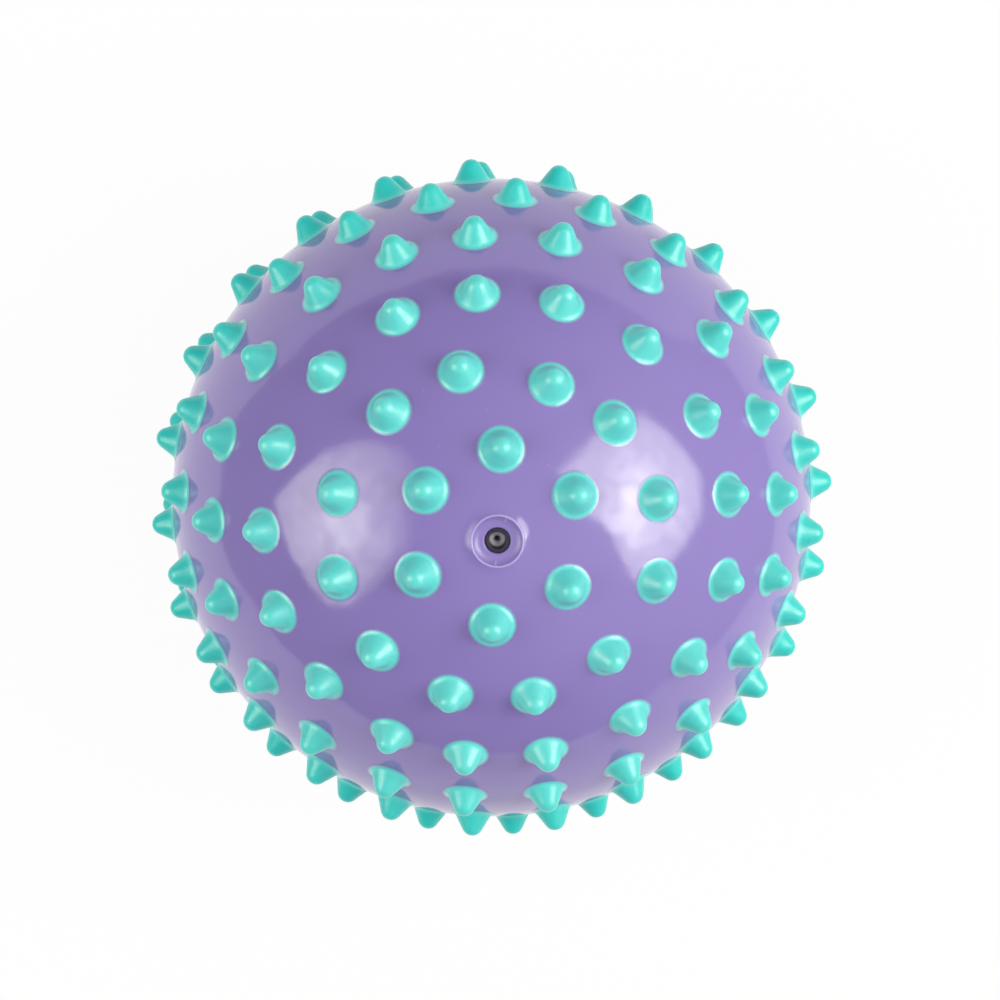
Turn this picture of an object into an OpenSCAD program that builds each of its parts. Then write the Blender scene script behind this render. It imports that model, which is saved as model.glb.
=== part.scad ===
// Inflatable sensory ball: a hollow vinyl skin, soft spikes in rings round two poles,
// and a rubber needle valve in a boss at the upper pole.
// The origin is the ball's centre, and +Z points out of the valve.

/* [Ball] */
// Diameter of the round skin, without the spikes
ball_d = 200; // [180:5:260]
// Wall of the moulded skin
wall_t = 2; // [1.2:0.1:4]

/* [Spikes] */
// Height of a spike's tip above the skin
spike_h = 6.6; // [6:0.1:8]
// Radius of a spike's rounded tip
spike_tip_r = 3.3; // [2.8:0.1:3.5]
// Half angle of a spike's flank, from its axis
spike_flank_deg = 28.5; // [25:0.5:31]
// Radius of the hollow where the flank runs out into the foot
spike_flare_r = 2; // [1:0.1:2.3]
// Thickness of the foot's thin edge
spike_edge_t = 0.35; // [0.2:0.05:0.5]
// Bond line between a spike's foot and the skin
spike_bond_t = 0.05; // [0.03:0.01:0.1]

/* [Spike pattern] */
// Angle from one ring of spikes to the next, seen from the centre
ring_pitch_deg = 13.75; // [13.5:0.05:14.2]
// Turn of the lower mould half against the upper one
half_turn_deg = 1.7; // [0:0.1:15]

/* [Valve seat] */
// Radius of the hollow where the low collar round the valve runs out into the skin
collar_flare_r = 12; // [8:1:16]
// Height of the collar above the round skin, at the raised line
collar_rise = 0.7; // [0.4:0.1:1]
// Diameter of the raised line on the collar
line_d = 14.1; // [13:0.1:16]
// Thickness of the raised line
line_t = 0.5; // [0.3:0.1:0.8]
// Length of the two short moulded marks that run inwards from the raised line
mark_l = 1.2; // [0.6:0.1:1.6]
// Width of the marks, and how far they stand out of the dish
mark_t = 0.3; // [0.2:0.05:0.4]
// Depth of the dish inside the raised line
dish_depth = 1.2; // [1:0.1:1.8]
// Width of the dish's flat floor, between the port's lip and the hollow that rises to the line
dish_flat_w = 0.35; // [0.2:0.05:0.6]
// Diameter of the port through the skin and its boss
port_d = 7.1; // [6.8:0.1:8]
// Rounding of the port's lip
port_lip_r = 0.5; // [0.3:0.1:0.8]
// Outer diameter of the boss inside the skin
boss_d = 15; // [14:0.5:18]
// Depth of the boss's inner end below the ball's top
boss_l = 16; // [15:0.5:20]

/* [Valve housing] */
// Radial gap between the housing and the boss, where the glue goes
housing_gap = 0.05; // [0.03:0.01:0.08]
// Drop of the housing's top below the dish
housing_drop = 0.5; // [0.3:0.1:0.8]
// Diameter of the flange that hooks under the boss
flange_d = 11; // [9.5:0.5:13]
// Thickness of the flange
flange_t = 2; // [1.5:0.1:3]
// Diameter of the bore that holds the core
core_bore_d = 4.7; // [4.4:0.1:5.2]
// Depth of the open recess above the core
recess_depth = 3.4; // [2.5:0.1:4]

/* [Valve core] */
// Radial gap between the core and its bore
core_gap = 0.05; // [0.03:0.01:0.08]
// Length of the core's head, from its face to its shoulder
core_head_l = 9; // [8:0.5:9.5]
// Diameter of the core's tail
tail_d = 3.3; // [3:0.1:3.6]
// Length of the core's tail, from the shoulder to the lips
tail_l = 7; // [6.5:0.1:8]
// Diameter of the needle hole
needle_d = 1.7; // [1.5:0.1:2]
// Depth of the needle hole below the core's face
needle_depth = 12; // [11:0.5:12.5]
// Diameter of the countersink round the needle hole
sink_d = 2.7; // [2.4:0.1:3.2]
// Depth of the countersink
sink_depth = 0.5; // [0.3:0.1:0.8]
// Thickness of the lips at the end of the tail
lips_t = 1.1; // [0.9:0.1:1.4]
// Length over which the tail narrows to the lips
lips_l = 3; // [2.5:0.1:3.5]
// Width of the slit between the lips
slit_w = 2.4; // [2:0.1:2.6]
// Opening of the slit at rest
slit_t = 0.15; // [0.1:0.05:0.3]

/* [Hidden] */
$fn = 96;

// Overrun of every cut
cut = 1;

ball_r = ball_d / 2;
// Steps of the wide, nearly flat arcs
ball_fn = 720;

// Rings of spikes, from the pole to the parting line: how many, and where the first one stands,
// in degrees clockwise from +Y as seen from above the valve
ring_counts = [6, 12, 17, 21, 24, 24];
ring_starts_deg = [3.4, 16.7, 17.2, 14.2, 3.9, 11.4];

// Small shifts of the spikes along each ring and away from the pole, in degrees: the mould's
// cavities aren't evenly spaced
ring_shifts_deg = [
    [-1, -3, 1, 0, 2.5, 1.5],
    [3, -0.5, 0.5, -0.5, 0.5, 0.5, -0.5, -1, -1.5, -1.5, 2.5, 1],
    [-1, 0, 1.5, 1, 1, 1, 0.5, 2, 1, -1, -0.5, -1, -1.5, -1.5, -0.5, 0.5, -0.5],
    [-1, 0, 1.5, 2.5, 2, 1.5, 1, 0.5, 1, 1, 0.5, -0.5, -0.5, -1, -0.5, -1, -1.5, -1, 0, 0, -1],
    [for (i = [0:23]) 0],
    [for (i = [0:23]) 0]
];
ring_tilts_deg = [
    [0.6, 0.4, -0.2, 0, 0, 0],
    [-1, -0.6, -0.2, 0.2, 0, 0.2, 0.2, 0.2, -0.2, -0.4, -0.4, 0.2],
    [0.2, 0.4, 0.2, 0.6, 0.6, 0.6, 0.6, 0, -0.2, 0.2, -0.2, 0, 0, -0.2, -0.6, 0, 0.4],
    [0.6, 0.6, 0.4, 0.4, 0.6, 0.4, 0.4, 0.4, 0.4, -0.2, 0, 0.4, 0.4, 0, -0.2, -0.2, 0, 0, 0.4, 0, 0.4],
    [for (i = [0:23]) 0],
    [for (i = [0:23]) 0]
];

// A spike in its own plane: distance from its axis, and distance from the ball's centre.
// The flank touches the round tip, and the flare's arc touches the flank and the foot's edge.
edge_ball_r = ball_r + spike_edge_t;
tip_centre = [0, ball_r + spike_h - spike_tip_r];
apex = tip_centre + [0, spike_tip_r / sin(spike_flank_deg)];
flank_out = [cos(spike_flank_deg), sin(spike_flank_deg)];
flank_down = [sin(spike_flank_deg), -cos(spike_flank_deg)];
beyond_tip = tip_centre + (spike_tip_r + cut) * flank_out;
flare_start = tip_centre + (spike_tip_r + spike_flare_r) * flank_out;
flare_reach = edge_ball_r + spike_flare_r;
flare_along = flare_start * flank_down;
flare_run = -flare_along - sqrt(pow(flare_along, 2) - flare_start * flare_start + pow(flare_reach, 2));
flare_centre = flare_start + flare_run * flank_down;
flank_end = flare_centre - spike_flare_r * flank_out;

// Valve seat: heights above the ball's centre. The collar's hollow is an arc that goes through
// the raised line and meets the skin at a slight angle, as if it dipped a little into it.
line_r = line_d / 2;
port_r = port_d / 2;
line_z = sqrt(pow(ball_r, 2) - pow(line_r, 2)) + collar_rise;
line_ball_r = norm([line_r, line_z]);
collar_dip = 0.02;
collar_reach = ball_r + collar_flare_r - collar_dip;
collar_deg = atan2(line_r, line_z) + acos(
    (pow(collar_reach, 2) + pow(line_ball_r, 2) - pow(collar_flare_r, 2)) / (2 * collar_reach * line_ball_r)
);
collar_centre = collar_reach * [sin(collar_deg), cos(collar_deg)];
collar_root = (ball_r - wall_t / 2) * [sin(collar_deg), cos(collar_deg)];
// The dish has a flat floor and a hollow that touches it and rises to the line
dish_z = line_z - dish_depth;
dish_in_r = port_r + port_lip_r;
dish_flat_r = dish_in_r + dish_flat_w;
dish_out_r = line_r - line_t / 2;
dish_rise_w = dish_out_r - dish_flat_r;
dish_hollow_r = (pow(dish_rise_w, 2) + pow(dish_depth, 2)) / (2 * dish_depth);
mark_end_z = dish_z + dish_hollow_r - sqrt(pow(dish_hollow_r, 2) - pow(dish_rise_w - mark_l, 2));
mark_deg = atan2(line_z - mark_end_z, mark_l);
boss_z = ball_r - boss_l;
// Where the two moulded marks stand, in degrees from +X
mark_azimuths_deg = [69, -95];

// Valve housing and core
housing_r = port_r - housing_gap;
housing_top_z = dish_z - housing_drop;
flange_top_z = boss_z - housing_gap;
housing_end_z = flange_top_z - flange_t;
core_bore_r = core_bore_d / 2;
core_r = core_bore_r - core_gap;
core_face_z = housing_top_z - recess_depth;
shoulder_z = core_face_z - core_head_l;
tail_end_z = shoulder_z - tail_l;
needle_end_z = core_face_z - needle_depth;

skin_colour = "#8B78C0";
spike_colour = "#55D6C6";
housing_colour = "#241F2B";
core_colour = "#5E5A60";

// Profile of the skin: a round wall, the collar and dish, and the boss inside
module skin_profile() {
    difference() {
        union() {
            difference() {
                circle(r = ball_r, $fn = ball_fn);
                circle(r = ball_r - wall_t, $fn = ball_fn);
            }
            difference() {
                polygon([[line_r - line_t / 2, collar_root[1]], [line_r, line_z], collar_centre, collar_root]);
                translate(collar_centre)
                    circle(r = collar_flare_r);
            }
            translate([0, collar_root[1]])
                square([line_r, line_z - collar_root[1]]);
            translate([0, boss_z])
                square([boss_d / 2, collar_root[1] - boss_z]);
            translate([line_r, line_z])
                circle(r = line_t / 2);
        }
        // dish's floor, with a rounded lip where it meets the port
        difference() {
            translate([0, dish_z - port_lip_r])
                square([dish_in_r, dish_depth + port_lip_r + cut]);
            translate([dish_in_r, dish_z - port_lip_r])
                circle(r = port_lip_r);
        }
        translate([0, dish_z])
            square([dish_flat_r, dish_depth + cut]);
        // hollow that rises to the raised line
        intersection() {
            translate([dish_flat_r, dish_z + dish_hollow_r])
                circle(r = dish_hollow_r);
            translate([dish_flat_r - cut, dish_z - cut])
                square([dish_rise_w + cut, dish_depth + cut + cut]);
        }
        // port through the boss, and everything on the far side of the axis
        translate([0, boss_z - cut])
            square([port_r, line_z - boss_z + cut + cut]);
        translate([-ball_d, -ball_d])
            square([ball_d, ball_d * 2]);
    }
}

module ball_skin() {
    color(skin_colour) {
        rotate_extrude()
            skin_profile();
        for (azimuth = mark_azimuths_deg)
            rotate([0, 0, azimuth])
                translate([dish_out_r, 0, line_z])
                    rotate([0, -mark_deg, 0])
                        translate([-mark_l, -mark_t / 2, -mark_t])
                            cube([mark_l, mark_t, mark_t + mark_t / 2]);
    }
}

// Profile of one spike, seated on the round skin
module spike_profile() {
    difference() {
        polygon([tip_centre / 2, apex, flank_end, flare_centre, flare_centre / 2]);
        difference() {
            polygon([tip_centre, beyond_tip, [beyond_tip[0], apex[1] + cut], [0, apex[1] + cut]]);
            translate(tip_centre)
                circle(r = spike_tip_r);
        }
        translate(flare_centre)
            circle(r = spike_flare_r);
        circle(r = ball_r + spike_bond_t, $fn = ball_fn);
    }
}

// One ring of spikes: polar angle and azimuths come from the ring's own row
module spike_ring(ring) {
    step = 360 / ring_counts[ring];
    for (i = [0:ring_counts[ring] - 1])
        rotate([0, 0, 90 - ring_starts_deg[ring] - i * step - ring_shifts_deg[ring][i]])
            rotate([0, ring_pitch_deg * (ring + 1) + ring_tilts_deg[ring][i], 0])
                rotate_extrude()
                    spike_profile();
}

module upper_spikes(ring) {
    color(spike_colour)
        spike_ring(ring);
}

// The lower mould half mirrors the upper one, turned a little about the valve's axis
module lower_spikes(ring) {
    color(spike_colour)
        mirror([0, 0, 1])
            rotate([0, 0, -half_turn_deg])
                spike_ring(ring);
}

module valve_housing() {
    color(housing_colour)
        difference() {
            union() {
                translate([0, 0, housing_end_z])
                    cylinder(r = housing_r, h = housing_top_z - housing_end_z);
                translate([0, 0, housing_end_z])
                    cylinder(d = flange_d, h = flange_t);
            }
            translate([0, 0, shoulder_z])
                cylinder(r = core_bore_r, h = housing_top_z - shoulder_z + cut);
            translate([0, 0, housing_end_z - cut])
                cylinder(r = tail_d / 2 + core_gap, h = shoulder_z - housing_end_z + cut + cut);
        }
}

// Wedge outline that flattens the tail's end into two lips
module lips_outline() {
    tail_r = tail_d / 2;
    polygon([
        [-lips_t / 2, tail_end_z],
        [lips_t / 2, tail_end_z],
        [tail_r + core_gap, tail_end_z + lips_l],
        [core_bore_r, tail_end_z + lips_l],
        [core_bore_r, core_face_z + cut],
        [-core_bore_r, core_face_z + cut],
        [-core_bore_r, tail_end_z + lips_l],
        [-tail_r - core_gap, tail_end_z + lips_l]
    ]);
}

module valve_core() {
    color(core_colour)
        difference() {
            intersection() {
                union() {
                    translate([0, 0, shoulder_z])
                        cylinder(r = core_r, h = core_head_l);
                    translate([0, 0, tail_end_z])
                        cylinder(d = tail_d, h = tail_l);
                }
                rotate([90, 0, 0])
                    linear_extrude(height = core_bore_d * 2, center = true)
                        lips_outline();
            }
            translate([0, 0, needle_end_z])
                cylinder(d = needle_d, h = needle_depth + cut);
            translate([0, 0, core_face_z - sink_depth])
                cylinder(d1 = needle_d, d2 = sink_d, h = sink_depth);
            translate([-slit_t / 2, -slit_w / 2, tail_end_z - cut])
                cube([slit_t, slit_w, needle_end_z - tail_end_z + cut + cut]);
        }
}

ball_skin();
valve_housing();
valve_core();
upper_spikes(0);  // upper_spikes_1
upper_spikes(1);  // upper_spikes_2
upper_spikes(2);  // upper_spikes_3
upper_spikes(3);  // upper_spikes_4
upper_spikes(4);  // upper_spikes_5
upper_spikes(5);  // upper_spikes_6
lower_spikes(0);  // lower_spikes_1
lower_spikes(1);  // lower_spikes_2
lower_spikes(2);  // lower_spikes_3
lower_spikes(3);  // lower_spikes_4
lower_spikes(4);  // lower_spikes_5
lower_spikes(5);  // lower_spikes_6
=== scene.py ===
import bpy
import numpy as np
from mathutils import Matrix, Vector


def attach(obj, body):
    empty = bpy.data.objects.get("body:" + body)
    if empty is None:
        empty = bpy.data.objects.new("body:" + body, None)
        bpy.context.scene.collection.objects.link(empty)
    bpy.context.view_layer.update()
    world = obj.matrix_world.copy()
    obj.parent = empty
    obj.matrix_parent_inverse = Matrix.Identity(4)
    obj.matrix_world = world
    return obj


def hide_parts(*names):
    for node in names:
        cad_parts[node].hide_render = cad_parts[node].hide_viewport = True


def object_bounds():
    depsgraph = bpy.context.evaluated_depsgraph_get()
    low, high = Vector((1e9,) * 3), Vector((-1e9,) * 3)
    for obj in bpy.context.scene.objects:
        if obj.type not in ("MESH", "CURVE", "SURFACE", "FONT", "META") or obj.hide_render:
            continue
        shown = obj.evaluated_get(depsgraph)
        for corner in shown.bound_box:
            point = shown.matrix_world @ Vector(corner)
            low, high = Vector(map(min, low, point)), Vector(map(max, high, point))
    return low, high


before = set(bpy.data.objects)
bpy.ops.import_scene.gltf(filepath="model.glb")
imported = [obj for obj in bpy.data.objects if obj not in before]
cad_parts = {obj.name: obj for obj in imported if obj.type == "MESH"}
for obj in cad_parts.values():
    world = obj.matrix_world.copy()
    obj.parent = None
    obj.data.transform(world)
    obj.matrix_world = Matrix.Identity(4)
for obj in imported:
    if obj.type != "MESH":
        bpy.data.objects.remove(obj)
cad_low, cad_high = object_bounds()
MM = 0.001


# Ball skin: one hollow skin of soft PVC, cast in a polished mould, so it is glossy with a faint
# orange peel. It rises to a low collar and a raised line round the valve, dips to the port, and
# goes on inside the ball as the boss that grips the valve.
BALL_R = 100.0
WALL = 2.0
SKIN_STEPS = 256
OUTER_ROWS = 116
OUTER_START_DEG = 9.6
INNER_ROWS = 60
COLLAR_HOLLOW_R = 12.0
COLLAR_DIP = 0.02
COLLAR_START_DEG = 1.2
COLLAR_STOP_DEG = 3.1
COLLAR_FOOT_DEGS = (0.25, 1.0, 2.0)
LINE_R = 7.05
LINE_Z = 100.451
LINE_BEAD_R = 0.25
LINE_STOP_DEG = -25
PORT_R = 3.55
LIP_R = 0.5
LIP_ROW = 1.0
DISH_Z = 99.251
DISH_FLAT_R = 4.4
DISH_HOLLOW_R = 3.0
DISH_STOP_DEG = -36.9
MARK_AZIMUTHS = (69, -95)
MARK_L = 1.2
MARK_H = 0.18
MARK_HALF_W = 0.17
MARK_BAND = 0.2
BOSS_R = 7.5
BOSS_END_Z = 84.0
BOSS_CHAMFER = 0.1
BOSS_ROW = 6.0
THIN_REACH = 0.42
THIN_FADE = 0.14
SEAT_R = LINE_R - 0.2
SEAT_FADE = 0.3
PURPLE = "#7967AB"
PURPLE_LIGHT = "#7F6DB1"
PURPLE_PALE_AND_PAINTED_GLINT = "#A495CE"
SPECK = "#B9AFD2"
SPECK_GAP = 6.0
SPECK_R = 0.09
SPECK_FADE_R = 0.18
CLOUD_W = 45.0
PEEL_W = 5.0
PEEL_T = 0.035
SWELL_W = 14.0
SWELL_T = 0.1


def arc(centre, radius, start, stop, count):
    """Points of a circle in the plane of distance from the axis and height, from one angle to
    another in equal steps; angles in degrees, from outwards towards up."""
    a = np.radians(np.linspace(start, stop, count))
    return np.stack([centre[0] + radius * np.cos(a), centre[1] + radius * np.sin(a)], axis=1)


def round_centre(radius, angle):
    """Points of a circle round the ball's centre in that plane: at each angle from +Z, in
    radians, the radius times the angle's sine outwards and times its cosine up."""
    return np.stack([radius * np.sin(angle), radius * np.cos(angle)], axis=1)


def turned(profile, steps):
    """Closed surface of revolution: a closed loop of points (distance from the axis, height), run
    with the solid on its right, goes round +Z in equal steps. A point on the axis is one vertex.
    Returns vertices in millimetres and faces."""
    angle = 2 * np.pi * np.arange(steps) / steps
    corners, rows, base = [], [], 0
    for r, z in profile:
        count = steps if r > 0 else 1
        a = angle[:count]
        corners.append(np.stack([r * np.cos(a), r * np.sin(a), np.full(count, z)], axis=1))
        rows.append(base + (np.arange(steps) % count))
        base += count
    faces = []
    for k, here in enumerate(rows):
        there = rows[(k + 1) % len(rows)]
        quads = np.stack([here, there, np.roll(there, -1), np.roll(here, -1)], axis=1)
        if here[0] == here[1] and there[0] == there[1]:
            continue
        if here[0] == here[1]:
            faces += quads[:, [0, 1, 2]].tolist()
        elif there[0] == there[1]:
            faces += quads[:, [0, 1, 3]].tolist()
        else:
            faces += quads.tolist()
    return np.concatenate(corners), faces


def piece(name, vertices_mm, faces, material):
    """A smooth-shaded mesh object at the origin, from vertices in millimetres."""
    mesh = bpy.data.meshes.new(name)
    mesh.from_pydata((np.asarray(vertices_mm) * MM).tolist(), [], faces)
    mesh.polygons.foreach_set("use_smooth", np.ones(len(mesh.polygons), dtype=bool))
    mesh.materials.append(material)
    mesh.update()
    made = bpy.data.objects.new(name, mesh)
    bpy.context.scene.collection.objects.link(made)
    return made


def keep(made, label, values):
    """Keeps one number for each vertex of a piece, as an attribute that its material reads."""
    layer = made.data.attributes.new(label, "FLOAT", "POINT")
    layer.data.foreach_set("value", np.asarray(values, dtype=np.float32))


def paint(text):
    """An sRGB hex value as linear colour: each channel by the sRGB curve."""
    c = np.array([int(text[i:i + 2], 16) for i in (1, 3, 5)]) / 255
    c = np.where(c <= 0.04045, c / 12.92, ((c + 0.055) / 1.055) ** 2.4)
    return (*c.tolist(), 1.0)


def add(tree, kind, settings=None, **links):
    """Adds a node: settings are its own properties or values of its sockets, and links are
    other nodes' outputs for its sockets, each by the socket's name, with its spaces written
    as _, or by i and its number."""
    made = tree.nodes.new(kind)
    for key, value in (settings or {}).items():
        if isinstance(key, int) or key in made.inputs:
            made.inputs[key].default_value = value
        else:
            setattr(made, key, value)
    for key, source in links.items():
        key = int(key[1:]) if key[0] == "i" and key[1:].isdigit() else key.replace("_", " ")
        tree.links.new(source, made.inputs[key])
    return made


def new_material(name):
    """An empty node material and its output node."""
    made = bpy.data.materials.new(name)
    made.use_nodes = True
    made.node_tree.nodes.clear()
    return made, made.node_tree, made.node_tree.nodes.new("ShaderNodeOutputMaterial")


# Plasticised PVC out of a polished mould: a clear-edged gloss, broken by a shallow orange peel
# and a slow unevenness, with the pigment a little uneven and a few pale specks of dust. Thin
# raised details are painted paler, partly their own pale moulding and partly a painted glint for
# the light their edges catch, and the dish that the valve is pressed into has lost its gloss: each by an
# attribute kept on the mesh.
skin_vinyl, tree, out = new_material("cast_soft_pvc_purple")
place = add(tree, "ShaderNodeTexCoord").outputs["Object"]
cloud = add(tree, "ShaderNodeTexNoise", {"Scale": 1 / (CLOUD_W * MM), "Detail": 3.0}, Vector=place)
pigment = add(tree, "ShaderNodeMix", {"data_type": "RGBA", 6: paint(PURPLE), 7: paint(PURPLE_LIGHT)},
              Factor=cloud.outputs["Fac"])
dust = add(tree, "ShaderNodeTexVoronoi", {"Scale": 1 / (SPECK_GAP * MM), "Randomness": 1.0}, Vector=place)
speck = add(tree, "ShaderNodeMapRange", {"From Min": SPECK_R / SPECK_GAP, "To Min": 0.5,
                                         "From Max": SPECK_FADE_R / SPECK_GAP, "To Max": 0.0},
            Value=dust.outputs["Distance"])
dusted = add(tree, "ShaderNodeMix", {"data_type": "RGBA", 7: paint(SPECK)},
             Factor=speck.outputs["Result"], i6=pigment.outputs[2])
ridge = add(tree, "ShaderNodeAttribute", {"attribute_name": "thin"})
# Painted glint: the raised line and marks are painted paler, partly to stand for the light their thin edges
# catch.
pale_and_glint_colour = add(tree, "ShaderNodeMix", {"data_type": "RGBA", 7: paint(PURPLE_PALE_AND_PAINTED_GLINT)},
            Factor=ridge.outputs["Fac"], i6=dusted.outputs[2])
peel = add(tree, "ShaderNodeTexNoise", {"Scale": 1 / (PEEL_W * MM), "Detail": 2.0}, Vector=place)
swell = add(tree, "ShaderNodeTexNoise", {"Scale": 1 / (SWELL_W * MM), "Detail": 1.0}, Vector=place)
wave = add(tree, "ShaderNodeBump", {"Strength": 1.0, "Distance": SWELL_T * MM}, Height=swell.outputs["Fac"])
grain = add(tree, "ShaderNodeBump", {"Strength": 1.0, "Distance": PEEL_T * MM},
            Height=peel.outputs["Fac"], Normal=wave.outputs["Normal"])
gloss = add(tree, "ShaderNodeMapRange", {"To Min": 0.07, "To Max": 0.12}, Value=cloud.outputs["Fac"])
seat = add(tree, "ShaderNodeAttribute", {"attribute_name": "seat"})
gloss = add(tree, "ShaderNodeMath", {"operation": "MULTIPLY_ADD", 1: 0.26},
            i0=seat.outputs["Fac"], i2=gloss.outputs["Result"])
shader = add(tree, "ShaderNodeBsdfPrincipled", {"IOR": 1.64},
             Base_Color=pale_and_glint_colour.outputs[2], Roughness=gloss.outputs[0], Normal=grain.outputs["Normal"])
tree.links.new(shader.outputs["BSDF"], out.inputs["Surface"])

# The collar's hollow is an arc from the raised line down to the ball, which it dips into by a
# hair. Its centre stands off the ball by its radius less that hair, turned from the axis by the
# line's own angle and by the angle between the two that the law of cosines gives.
reach = BALL_R + COLLAR_HOLLOW_R - COLLAR_DIP
line_reach = np.hypot(LINE_R, LINE_Z)
collar_turn = np.arctan2(LINE_R, LINE_Z) + np.arccos(
    (reach ** 2 + line_reach ** 2 - COLLAR_HOLLOW_R ** 2) / (2 * reach * line_reach))
collar_centre = reach * np.array([np.sin(collar_turn), np.cos(collar_turn)])
line_deg = np.degrees(np.arctan2(LINE_Z - collar_centre[1], LINE_R - collar_centre[0]))
lowest_deg = -90 - np.degrees(collar_turn)
foot_angle = collar_turn + np.radians(COLLAR_FOOT_DEGS)
outer_angle = np.radians(np.linspace(OUTER_START_DEG, 180, OUTER_ROWS))
inner_r = BALL_R - WALL
inner_angle = np.linspace(np.pi, np.arcsin(BOSS_R / inner_r), INNER_ROWS)
skin_profile = np.concatenate([
    [[PORT_R, BOSS_END_Z + BOSS_CHAMFER], [PORT_R, BOSS_END_Z + BOSS_ROW]],
    [[PORT_R, DISH_Z - LIP_R - LIP_ROW]],
    arc((PORT_R + LIP_R, DISH_Z - LIP_R), LIP_R, 180, 90, 7),
    arc((DISH_FLAT_R, DISH_Z + DISH_HOLLOW_R), DISH_HOLLOW_R, -90, DISH_STOP_DEG, 12)[:-1],
    arc((LINE_R, LINE_Z), LINE_BEAD_R, 180, LINE_STOP_DEG, 13),
    arc(collar_centre, COLLAR_HOLLOW_R, line_deg + COLLAR_START_DEG, lowest_deg - COLLAR_STOP_DEG, 12)[1:],
    round_centre(BALL_R, foot_angle),
    round_centre(BALL_R, outer_angle)[:-1],
    [[0, -BALL_R], [0, -inner_r]],
    round_centre(inner_r, inner_angle)[1:],
    [[BOSS_R, BOSS_END_Z + BOSS_ROW], [BOSS_R, BOSS_END_Z + BOSS_CHAMFER]],
    [[BOSS_R - BOSS_CHAMFER, BOSS_END_Z], [PORT_R + BOSS_CHAMFER, BOSS_END_Z]],
])
vertices, faces = turned(skin_profile, SKIN_STEPS)
from_axis = np.hypot(vertices[:, 0], vertices[:, 1])
off_line = np.hypot(from_axis - LINE_R, vertices[:, 2] - LINE_Z)
# The paler colour of the raised line and marks is partly a painted glint.
thin = np.clip((THIN_REACH - off_line) / THIN_FADE, 0, 1)
seat = np.clip((SEAT_R - from_axis) / SEAT_FADE, 0, 1) * (vertices[:, 2] > 0)
# Two short moulded marks run down the dish from the raised line: each lifts the skin by a bell
# curve of the distance from the mark's own radius.
for azimuth in MARK_AZIMUTHS:
    along = np.array([np.cos(np.radians(azimuth)), np.sin(np.radians(azimuth))])
    out_to = vertices[:, :2] @ along
    aside = vertices[:, 0] * along[1] - vertices[:, 1] * along[0]
    on_dish = vertices[:, 2] > DISH_Z - MARK_BAND
    on_mark = on_dish & (out_to > LINE_R - LINE_BEAD_R - MARK_L) & (out_to < LINE_R)
    bell = np.where(on_mark, np.exp(-(aside / MARK_HALF_W) ** 2), 0)
    vertices[:, 2] += MARK_H * bell
    thin = np.maximum(thin, bell)
skin = piece("skin", vertices, faces, skin_vinyl)
keep(skin, "thin", thin)
keep(skin, "seat", seat)
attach(skin, "ball")
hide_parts("ball_skin")


# Spikes: soft bell-shaped teats of teal PVC, one moulding with the skin: the teal is cast first
# into the mould's pits, then the purple behind it. Each has a round tip, a straight flank and a
# thin flared foot, where the purple shows through.
SPIKE_H = 6.6
TIP_R = 3.3
TIP_START_DEG = 74
FLANK_DEG = 28.5
FLARE_R = 2.3
FLARE_STOP_DEG = 1.2
EDGE_T = 0.03
EDGE_SLOPE = 0.05
BOND_T = 0.02
SPIKE_STEPS = 24
TEAL_DEEP = ("#06B8B4", "#10C0BC")
TEAL_PALE_AND_PAINTED_SHEEN = ("#4AC1C0", "#54C9C8")
TEAL_CLOUD_W = 9.0
TEAL_PEEL_W = 4.0
TEAL_PEEL_T = 0.25
PAINTED_SHEEN_GONE_BELOW_Z = 30.0
PAINTED_SHEEN_ABOVE_Z = 85.0

# Six rings on each half, a pitch apart from the pole on, with the lower half turned a little
# against the upper. Each ring has its number of spikes and the place of its first one, clockwise
# from +Y seen from the valve. Single spikes are off their even places, clockwise by a shift and
# away from the pole by a tilt. All in degrees.
RING_PITCH = 13.75
HALF_TURN = 1.7
RING_COUNTS = (6, 12, 17, 21, 24, 24)
RING_STARTS = (3.4, 16.7, 17.2, 14.2, 3.9, 11.4)
RING_SHIFTS = (
    (-1, -3, 1, 0, 2.5, 1.5),
    (3, -0.5, 0.5, -0.5, 0.5, 0.5, -0.5, -1, -1.5, -1.5, 2.5, 1),
    (-1, 0, 1.5, 1, 1, 1, 0.5, 2, 1, -1, -0.5, -1, -1.5, -1.5, -0.5, 0.5, -0.5),
    (-1, 0, 1.5, 2.5, 2, 1.5, 1, 0.5, 1, 1, 0.5, -0.5, -0.5, -1, -0.5, -1, -1.5, -1, 0, 0, -1),
    (0,) * 24,
    (0,) * 24,
)
RING_TILTS = (
    (0.6, 0.4, -0.2, 0, 0, 0),
    (-1, -0.6, -0.2, 0.2, 0, 0.2, 0.2, 0.2, -0.2, -0.4, -0.4, 0.2),
    (0.2, 0.4, 0.2, 0.6, 0.6, 0.6, 0.6, 0, -0.2, 0.2, -0.2, 0, 0, -0.2, -0.6, 0, 0.4),
    (0.6, 0.6, 0.4, 0.4, 0.6, 0.4, 0.4, 0.4, 0.4, -0.2, 0, 0.4, 0.4, 0, -0.2, -0.2, 0, 0, 0.4, 0, 0.4),
    (0,) * 24,
    (0,) * 24,
)

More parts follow.
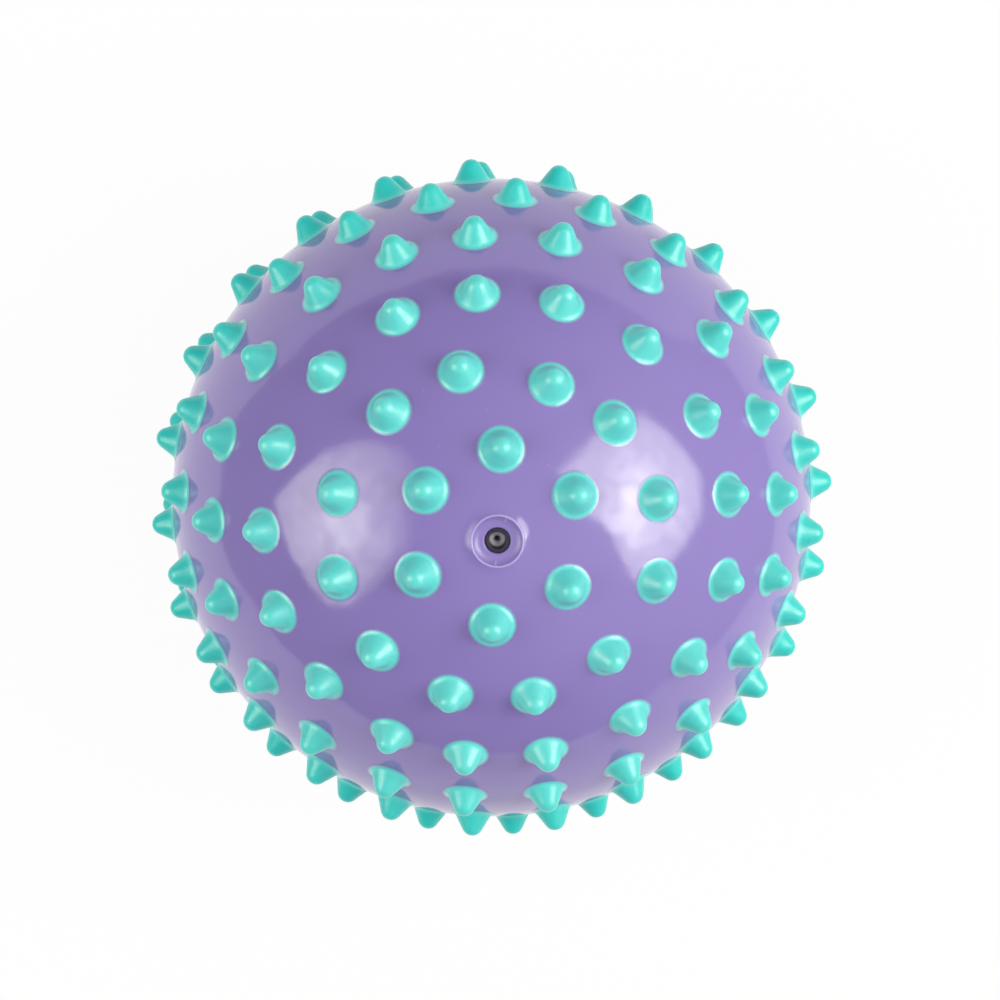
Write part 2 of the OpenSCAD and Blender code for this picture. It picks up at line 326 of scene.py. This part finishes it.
# The same PVC in teal, satin on the teats and glossy only where the foot runs out on the skin.
# There it is a fraction of a millimetre thick and the purple shows through, so colour and gloss
# follow the height above the skin, kept in an attribute. A dull coat gives the soft broad sheen.
# The teal is painted paler, with a duller coat, towards the ball's ends, and deeper round its
# girth: a painted sheen on the teats seen from their tips. A shallow unevenness bends the sheen.
spike_vinyl, tree, out = new_material("cast_soft_pvc_teal")
place = add(tree, "ShaderNodeTexCoord").outputs["Object"]
rise = add(tree, "ShaderNodeAttribute", {"attribute_name": "rise_mm"}).outputs["Fac"]
cover = add(tree, "ShaderNodeMapRange", {"From Min": 0.015, "From Max": 0.19}, Value=rise)
height = add(tree, "ShaderNodeSeparateXYZ", Vector=place).outputs["Z"]
height = add(tree, "ShaderNodeMath", {"operation": "ABSOLUTE"}, i0=height).outputs[0]
# Painted sheen: a fade from the ball's ends to its girth that makes the teal paler towards the ends.
girth_without_painted_sheen = add(tree, "ShaderNodeMapRange", {"From Min": PAINTED_SHEEN_ABOVE_Z * MM, "From Max": PAINTED_SHEEN_GONE_BELOW_Z * MM},
            Value=height)
thick = add(tree, "ShaderNodeMapRange", {"From Min": 0.4, "From Max": 1.6, "To Min": 0.2}, Value=rise)
deep_unsheened_share = add(tree, "ShaderNodeMath", {"operation": "MULTIPLY"},
            i0=girth_without_painted_sheen.outputs["Result"], i1=thick.outputs["Result"])
cloud = add(tree, "ShaderNodeTexNoise", {"Scale": 1 / (TEAL_CLOUD_W * MM), "Detail": 2.0}, Vector=place)
deep = add(tree, "ShaderNodeMix", {"data_type": "RGBA", 6: paint(TEAL_DEEP[0]), 7: paint(TEAL_DEEP[1])},
           Factor=cloud.outputs["Fac"])
pale = add(tree, "ShaderNodeMix", {"data_type": "RGBA", 6: paint(TEAL_PALE_AND_PAINTED_SHEEN[0]), 7: paint(TEAL_PALE_AND_PAINTED_SHEEN[1])},
           Factor=cloud.outputs["Fac"])
pigment = add(tree, "ShaderNodeMix", {"data_type": "RGBA"},
              Factor=deep_unsheened_share.outputs[0], i6=pale.outputs[2], i7=deep.outputs[2])
thinned = add(tree, "ShaderNodeMix", {"data_type": "RGBA", 6: paint(PURPLE)},
              Factor=cover.outputs["Result"], i7=pigment.outputs[2])
peel = add(tree, "ShaderNodeTexNoise", {"Scale": 1 / (TEAL_PEEL_W * MM), "Detail": 2.0}, Vector=place)
grain = add(tree, "ShaderNodeBump", {"Strength": 1.0, "Distance": TEAL_PEEL_T * MM},
            Height=peel.outputs["Fac"])
gloss = add(tree, "ShaderNodeMapRange", {"From Min": 0.1, "From Max": 0.5, "To Min": 0.1, "To Max": 0.32},
            Value=rise)
dull = add(tree, "ShaderNodeMapRange", {"To Min": 0.8, "To Max": 0.3}, Value=deep_unsheened_share.outputs[0])
shader = add(tree, "ShaderNodeBsdfPrincipled", {"IOR": 1.56, "Coat Roughness": 0.5, "Coat IOR": 1.55},
             Base_Color=thinned.outputs[2], Roughness=gloss.outputs["Result"],
             Coat_Weight=dull.outputs["Result"], Normal=grain.outputs["Normal"])
tree.links.new(shader.outputs["BSDF"], out.inputs["Surface"])

# Profile of a spike in its own plane, with the ball's centre as origin: the flare is a circle
# that touches the flank's line and the thin foot, found where its centre lies a flare's radius
# off both.
tip_centre = np.array([0, BALL_R + SPIKE_H - TIP_R])
flank_out = np.array([np.cos(np.radians(FLANK_DEG)), np.sin(np.radians(FLANK_DEG))])
flank_down = np.array([flank_out[1], -flank_out[0]])
flare_start = tip_centre + (TIP_R + FLARE_R) * flank_out
flare_reach = BALL_R + EDGE_T + FLARE_R
along = flare_start @ flank_down
run = -along - np.sqrt(along ** 2 - flare_start @ flare_start + flare_reach ** 2)
flare_centre = flare_start + run * flank_down
flare_foot_deg = np.degrees(np.arctan2(-flare_centre[1], -flare_centre[0])) % 360
foot_end = flare_centre * (BALL_R + EDGE_T) / flare_reach
foot_r = np.linspace(foot_end[0] + EDGE_SLOPE, 0, 3)
spike_profile = np.concatenate([
    [[0, tip_centre[1] + TIP_R]],
    arc(tip_centre, TIP_R, TIP_START_DEG, FLANK_DEG, 5),
    [tip_centre + TIP_R * flank_out + run / 2 * flank_down],
    arc(flare_centre, FLARE_R, 180 + FLANK_DEG, flare_foot_deg - FLARE_STOP_DEG, 6),
    [foot_end],
    np.stack([foot_r, np.sqrt((BALL_R + BOND_T) ** 2 - foot_r ** 2)], axis=1),
])
spike_vertices, spike_faces = turned(spike_profile, SPIKE_STEPS)
spike_rise = np.linalg.norm(spike_vertices, axis=1) - BALL_R


def turn_matrix(axis, degrees):
    """Rotation about a main axis, as a 3x3 array."""
    return np.array(Matrix.Rotation(np.radians(degrees), 3, axis))


def ring_of_spikes(ring, turned_by, flip):
    """Vertices and faces of one ring: each spike is tipped from +Z, turned to its azimuth, and
    for the lower half mirrored in the girth, with its faces' order reversed to point outwards."""
    corners, faces = [], []
    for i, (shift, tilt) in enumerate(zip(RING_SHIFTS[ring], RING_TILTS[ring])):
        azimuth = 90 - RING_STARTS[ring] - i * 360 / RING_COUNTS[ring] - shift - turned_by
        tipped = turn_matrix("Y", RING_PITCH * (ring + 1) + tilt)
        spike = spike_vertices @ (turn_matrix("Z", azimuth) @ tipped).T
        corners.append(spike * [1, 1, flip])
        faces += [[i * len(spike) + v for v in face[::flip]] for face in spike_faces]
    return np.concatenate(corners), faces


for half, turned_by, flip in (("upper", 0, 1), ("lower", HALF_TURN, -1)):
    for ring, count in enumerate(RING_COUNTS):
        vertices, faces = ring_of_spikes(ring, turned_by, flip)
        spikes = piece(f"{half}_spikes_ring_{ring + 1}", vertices, faces, spike_vinyl)
        keep(spikes, "rise_mm", np.tile(spike_rise, count))
        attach(spikes, "ball")
        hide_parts(f"{half}_spikes_{ring + 1}")


# Valve housing: a sleeve of black rubber, moulded and pushed up into the boss from inside until
# its flange hooks under the boss. A ledge in its bore stops the core.
HOUSING_R = 3.5
HOUSING_TOP = 98.751
HOUSING_END = 81.95
HOUSING_ROUND = 0.25
HOUSING_CHAMFER = 0.05
HOUSING_ROW = 2.0
FLANGE_R = 5.5
FLANGE_T = 2.0
BORE_R = 2.35
LEDGE_Z = 86.351
TAIL_BORE_R = 1.7
VALVE_STEPS = 64
BLOOM_W = 0.5
BLOOM_T = 0.01


def moulded_rubber(name, tones, ior, roughness):
    """Rubber out of a mould: two tones mixed by a fine matt bloom, which bumps the surface too."""
    made, tree, out = new_material(name)
    place = add(tree, "ShaderNodeTexCoord").outputs["Object"]
    bloom = add(tree, "ShaderNodeTexNoise", {"Scale": 1 / (BLOOM_W * MM), "Detail": 3.0}, Vector=place)
    tone = add(tree, "ShaderNodeMix", {"data_type": "RGBA", 6: paint(tones[0]), 7: paint(tones[1])},
               Factor=bloom.outputs["Fac"])
    grain = add(tree, "ShaderNodeBump", {"Strength": 1.0, "Distance": BLOOM_T * MM},
                Height=bloom.outputs["Fac"])
    shader = add(tree, "ShaderNodeBsdfPrincipled", {"IOR": ior, "Roughness": roughness},
                 Base_Color=tone.outputs[2], Normal=grain.outputs["Normal"])
    tree.links.new(shader.outputs["BSDF"], out.inputs["Surface"])
    return made


# Black rubber: near black with a painted violet cast, painted reflected light from the purple skin round it,
# with a soft broad sheen.
housing_rubber = moulded_rubber("moulded_rubber_black", ("#1C1428", "#281E38"), 1.45, 0.45)

bore_chamfer, housing_side = TAIL_BORE_R + HOUSING_CHAMFER, HOUSING_R - HOUSING_ROUND
flange_top, flange_side = HOUSING_END + FLANGE_T, FLANGE_R - HOUSING_ROUND
housing_profile = np.concatenate([
    [[TAIL_BORE_R, HOUSING_END], [TAIL_BORE_R, LEDGE_Z - HOUSING_CHAMFER], [bore_chamfer, LEDGE_Z]],
    [[BORE_R - HOUSING_CHAMFER, LEDGE_Z], [BORE_R, LEDGE_Z + HOUSING_CHAMFER]],
    [[BORE_R, HOUSING_TOP - HOUSING_ROW]],
    arc((BORE_R + HOUSING_ROUND, HOUSING_TOP - HOUSING_ROUND), HOUSING_ROUND, 180, 90, 5),
    arc((housing_side, HOUSING_TOP - HOUSING_ROUND), HOUSING_ROUND, 90, 0, 5),
    [[HOUSING_R, flange_top + HOUSING_CHAMFER], [HOUSING_R + HOUSING_CHAMFER, flange_top]],
    arc((flange_side, flange_top - HOUSING_ROUND), HOUSING_ROUND, 90, 0, 5),
    arc((flange_side, HOUSING_END + HOUSING_ROUND), HOUSING_ROUND, 0, -90, 5),
    [[bore_chamfer, HOUSING_END]],
])
vertices, faces = turned(housing_profile, VALVE_STEPS)
housing = piece("valve_sleeve", vertices, faces, housing_rubber)
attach(housing, "ball")
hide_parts("valve_housing")


# Valve core: a plug of softer grey rubber that can be drawn out of the sleeve. A needle goes in
# at the dimpled face, and the far end is flattened to two lips with a slit between them, which
# the ball's air presses shut.
CORE_R = 2.3
FACE_Z = 95.351
SHOULDER_Z = 86.351
TAIL_R = 1.65
TAIL_END = 79.351
LIPS_L = 3.0
LIPS_HALF = 0.55
LIPS_MIDWAY_HALF = 1.1
NEEDLE_R = 0.85
NEEDLE_END = 83.351
SLIT_HALF_T = 0.075
SLIT_HALF_W = 1.2
SLIT_FLARE = 0.03
UNCUT = 9

# Moulded grey rubber: paler and duller than the sleeve, with the same fine bloom. Its grey is
# painted lighter than the rubber's own: painted light, lifting the face out of its shade deep in the
# sleeve's bore.
core_rubber = moulded_rubber("moulded_rubber_grey", ("#CAC6D2", "#DAD6E0"), 1.52, 0.5)


def core_rings(rows, steps):
    """Closed tube from a loop of rows (half width in X, half width in Y, limit in X, height): each
    is an ellipse whose X is cut off at the limit, run down the outside and back up the hole.
    Returns vertices in millimetres and faces."""
    a = 2 * np.pi * np.arange(steps) / steps
    half_x, half_y, limit, height = (np.array(rows)[:, [c]] for c in range(4))
    x = np.clip(half_x * np.cos(a), -limit, limit)
    y = half_y * np.sin(a)
    z = height + 0 * a
    index = np.arange(len(rows) * steps).reshape(len(rows), steps)
    below = np.roll(index, -1, axis=0)
    quads = np.stack([index, below, np.roll(below, -1, axis=1), np.roll(index, -1, axis=1)], axis=2)
    return np.stack([x, y, z], axis=2).reshape(-1, 3), quads.reshape(-1, 4).tolist()


def round_rows(radius, height, steps):
    """Rows of whole circles near a radius and a height: each step is (wider, higher)."""
    return [(radius + wider, radius + wider, UNCUT, height + higher) for wider, higher in steps]


narrow_z = TAIL_END + LIPS_L
core_rows = [
    *round_rows(CORE_R, FACE_Z, [(-0.35, 0), (-0.12, -0.04), (0, -0.15)]),
    *round_rows(CORE_R, SHOULDER_Z, [(0, 0.15), (-0.15, 0)]),
    *round_rows(TAIL_R, SHOULDER_Z, [(0.1, 0), (0, -0.1)]),
    *round_rows(TAIL_R, narrow_z, [(0, 0.1)]),
    (TAIL_R, TAIL_R, TAIL_R - 0.05, narrow_z),
    (TAIL_R, TAIL_R, LIPS_MIDWAY_HALF, TAIL_END + LIPS_L / 2),
    (TAIL_R, TAIL_R, LIPS_HALF + 0.04, TAIL_END + 0.12),
    (TAIL_R - 0.08, TAIL_R - 0.08, LIPS_HALF - 0.04, TAIL_END),
    (SLIT_HALF_T + SLIT_FLARE, SLIT_HALF_W + SLIT_FLARE, UNCUT, TAIL_END),
    (SLIT_HALF_T, SLIT_HALF_W, UNCUT, TAIL_END + 0.05),
    (SLIT_HALF_T, SLIT_HALF_W, UNCUT, NEEDLE_END - 0.2),
    *round_rows(NEEDLE_R, NEEDLE_END, [(-0.1, 0), (0, 0.15)]),
    *round_rows(NEEDLE_R, FACE_Z, [(0, -0.6), (0.05, -0.48), (0.45, -0.06), (0.57, 0)]),
]
vertices, faces = core_rings(core_rows, VALVE_STEPS)
core = piece("valve_plug", vertices, faces, core_rubber)
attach(core, "core")
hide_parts("valve_core")


# Floor: a sheet of white paper under the ball, cut narrow beside it and broad before and behind
# it, which sets what the ball's edge mirrors. It keeps the ball's shadow. To the camera and in
# reflections it is mostly plain white, and wholly so away from the ball, so its edges don't show.
PAPER = "#D8D8D8"
SHADOW_R = 140.0
CLEAR_R = 400.0
PAPER_OUTLINE = [
    (-500, 130), (-1000, 700), (-1300, 3000), (1500, 3000), (1300, 1100), (440, 290),
    (390, -80), (700, -500), (2200, -2400), (-2200, -2400), (-900, -420), (-500, -110),
]

paper, tree, out = new_material("white_paper_sheet")
rays = add(tree, "ShaderNodeLightPath")
seen = add(tree, "ShaderNodeMath", {"operation": "ADD"},
           i0=rays.outputs["Is Camera Ray"], i1=rays.outputs["Is Glossy Ray"])
seen = add(tree, "ShaderNodeMath", {"operation": "ADD", "use_clamp": True},
           i0=seen.outputs[0], i1=rays.outputs["Is Transmission Ray"])
place = add(tree, "ShaderNodeTexCoord").outputs["Object"]
far = add(tree, "ShaderNodeVectorMath", {"operation": "LENGTH"}, i0=place)
clear = add(tree, "ShaderNodeMapRange", {"From Min": SHADOW_R * MM, "From Max": CLEAR_R * MM,
                                         "To Min": 0.94, "To Max": 1.0}, Value=far.outputs["Value"])
share = add(tree, "ShaderNodeMapRange", {"To Min": 0.8},
            Value=seen.outputs[0], To_Max=clear.outputs["Result"])
dull = add(tree, "ShaderNodeBsdfDiffuse", {"Color": paint(PAPER)})
white = add(tree, "ShaderNodeEmission", {"Color": (1, 1, 1, 1), "Strength": 1.0})
mixed = add(tree, "ShaderNodeMixShader", {}, Fac=share.outputs[0], i1=dull.outputs[0], i2=white.outputs[0])
tree.links.new(mixed.outputs[0], out.inputs["Surface"])

floor_z = cad_low[2] / MM
floor_corners = [(x, y, floor_z) for x, y in PAPER_OUTLINE]
floor = piece("floor", floor_corners, [list(range(len(floor_corners)))[::-1]], paper)


# Soft boxes: two large ones stand left and right, high up. Each is a many-sided cloth front,
# brightest near its lamp, with a dim lip round it, and the right one is the stronger.
BOX_DISTANCE = 0.9
BOX_GLOW = "#FBFDEE"
BOX_HALF_H = 0.4
DIM_REACH = 0.5
LIP_GLOW_SHARE = 0.15
SPOT_EDGE_SHARE = 0.4
RAGGED_SHARE = 1.2
FOLD_W = 0.12


def soft_box(name, polar, azimuth, outline, lip, fade, levels, hot):
    """A flat sheet that faces the ball from a direction (angle from +Z, azimuth), with its outline
    in its own plane, across and up, in metres. Its lip is wider than the outline by the share lip,
    and higher by fade at the top, and the glow dims across it. The glow falls evenly from the
    first level in the middle to the second at the dim reach. It rises by hot's level round hot's
    place (across, up, radius, level), ragged at its edge, and the cloth's folds vary it a little."""
    p, a = np.radians(polar), np.radians(azimuth)
    towards = Vector((np.sin(p) * np.cos(a), np.sin(p) * np.sin(a), np.cos(p)))
    across = Vector((0, 0, 1)).cross(towards).normalized()
    up = towards.cross(across)
    middle = towards * BOX_DISTANCE
    hot_across, hot_up, hot_r, hot_level = hot
    lamp = middle + across * hot_across + up * hot_up

    glow, tree, out = new_material(name + "_cloth")
    surface = add(tree, "ShaderNodeNewGeometry")
    place = surface.outputs["Position"]
    off = add(tree, "ShaderNodeVectorMath", {"operation": "DISTANCE", 1: middle}, i0=place)
    wide = add(tree, "ShaderNodeMapRange", {"From Min": 0.0, "To Min": levels[0],
                                            "From Max": DIM_REACH, "To Max": levels[1]},
               Value=off.outputs["Value"])
    off = add(tree, "ShaderNodeVectorMath", {"operation": "DISTANCE", 1: lamp}, i0=place)
    cloth = add(tree, "ShaderNodeTexNoise", {"Scale": 1 / FOLD_W, "Detail": 3.0, "Distortion": 1.5},
                Vector=place)
    fold = add(tree, "ShaderNodeMapRange", {"From Min": 0.3, "From Max": 0.7, "To Min": 0.78, "To Max": 1.2},
               Value=cloth.outputs["Fac"])
    ragged = add(tree, "ShaderNodeMath", {"operation": "MULTIPLY_ADD", 1: -RAGGED_SHARE * hot_r},
                 i0=cloth.outputs["Fac"], i2=off.outputs["Value"])
    spot = add(tree, "ShaderNodeMapRange", {"From Min": -SPOT_EDGE_SHARE * hot_r, "To Min": hot_level,
                                            "From Max": SPOT_EDGE_SHARE * hot_r, "To Max": 0.0},
               Value=ragged.outputs[0])
    level = add(tree, "ShaderNodeMath", {"operation": "ADD"},
                i0=wide.outputs["Result"], i1=spot.outputs["Result"])
    level = add(tree, "ShaderNodeMath", {"operation": "MULTIPLY"},
                i0=level.outputs[0], i1=fold.outputs["Result"])
    taut = add(tree, "ShaderNodeAttribute", {"attribute_name": "taut"})
    level = add(tree, "ShaderNodeMath", {"operation": "MULTIPLY"},
                i0=level.outputs[0], i1=taut.outputs["Fac"])
    light = add(tree, "ShaderNodeEmission", {"Color": paint(BOX_GLOW)}, Strength=level.outputs[0])
    dark = add(tree, "ShaderNodeEmission", {"Strength": 0.0})
    front = add(tree, "ShaderNodeMixShader", {}, Fac=surface.outputs["Backfacing"],
                i1=light.outputs[0], i2=dark.outputs[0])
    tree.links.new(front.outputs[0], out.inputs["Surface"])

    inner = np.array(outline)
    outer = inner + lip * (inner - inner.mean(axis=0))
    outer[:, 1] += fade * np.clip(inner[:, 1] / BOX_HALF_H, 0, 1)
    corners = [(middle + across * x + up * y) / MM for x, y in np.concatenate([inner, outer])]
    count = len(outline)
    rim = [[i, count + i, count + (i + 1) % count, (i + 1) % count] for i in range(count)]
    sheet = piece(name, corners, [list(range(count))] + rim, glow)
    keep(sheet, "taut", np.repeat([1.0, LIP_GLOW_SHARE], count))
    sheet.visible_camera = False


soft_box("soft_box_left", polar=54.75, azimuth=-176.3,
         outline=[(-0.08, -0.36), (-0.29, -0.09), (-0.39, 0.09), (-0.40, 0.29), (-0.30, 0.41),
                  (0.13, 0.33), (0.28, 0.18), (0.41, 0.02), (0.38, -0.12), (0.17, -0.25)],
         lip=0.1, fade=0.16, levels=(5.6, 2.0), hot=(0.02, 0.1, 0.16, 2.2))
soft_box("soft_box_right", polar=50.5, azimuth=6.4,
         outline=[(0.26, 0.33), (0.33, 0.17), (0.36, -0.12), (0.22, -0.21), (0.04, -0.35), (-0.13, -0.32),
                  (-0.27, -0.18), (-0.42, 0.03), (-0.31, 0.12), (-0.12, 0.20), (-0.03, 0.35), (0.20, 0.45)],
         lip=0.18, fade=0.0, levels=(7.1, 4.0), hot=(-0.01, 0.04, 0.26, 3.9))


# Room: dim beyond the lights, and lighter high on the right, where the stronger box stands. The
# camera sees it white, as the photograph's ground is.
ROOM_LIGHT_SIDE = (0.77, 0.0, 0.64)
ROOM_DIM = 0.36
ROOM_LIGHT = 0.9

world = bpy.data.worlds.new("studio")
bpy.context.scene.world = world
world.use_nodes = True
tree = world.node_tree
tree.nodes.clear()
rays = add(tree, "ShaderNodeLightPath")
towards = add(tree, "ShaderNodeTexCoord").outputs["Generated"]
right = add(tree, "ShaderNodeVectorMath", {"operation": "DOT_PRODUCT", 1: ROOM_LIGHT_SIDE}, i0=towards)
level = add(tree, "ShaderNodeMapRange", {"From Min": 0.2, "To Min": ROOM_DIM,
                                         "From Max": 1.0, "To Max": ROOM_LIGHT},
            Value=right.outputs["Value"])
room = add(tree, "ShaderNodeBackground", {"Color": (1, 1, 1, 1)}, Strength=level.outputs["Result"])
ground = add(tree, "ShaderNodeBackground", {"Color": (1, 1, 1, 1), "Strength": 1.0})
both = add(tree, "ShaderNodeMixShader", {},
           Fac=rays.outputs["Is Camera Ray"], i1=room.outputs[0], i2=ground.outputs[0])
add(tree, "ShaderNodeOutputWorld", {}, Surface=both.outputs[0])


# Camera: straight above the valve, tipped a little towards +Y, seven ball radii from the centre.
# It looks just past the centre, which puts the ball a little left of the middle of the frame.
EYE_DIRECTION = (-0.0155, 0.1185, 0.993)
EYE_DISTANCE = 0.7
AIM_RIGHT = 0.0026
AIM_DOWN = 0.0008

direction = Vector(EYE_DIRECTION).normalized()
look_right = Vector((0, 1, 0)).cross(direction).normalized()
look_up = direction.cross(look_right)
eye = direction * EYE_DISTANCE
aim = look_right * AIM_RIGHT - look_up * AIM_DOWN
back = (eye - aim).normalized()
side = Vector((0, 1, 0)).cross(back).normalized()
camera_data = bpy.data.cameras.new("camera")
camera_data.sensor_width = 36.0
camera_data.lens = 79.56
camera_data.clip_start = 0.01
camera_data.clip_end = 20.0
camera = bpy.data.objects.new("camera", camera_data)
camera.matrix_world = Matrix.Translation(eye) @ Matrix((side, back.cross(side), back)).transposed().to_4x4()
bpy.context.scene.collection.objects.link(camera)
bpy.context.scene.camera = camera
bpy.context.scene.view_settings.view_transform = "Standard"

bpy.context.view_layer.update()
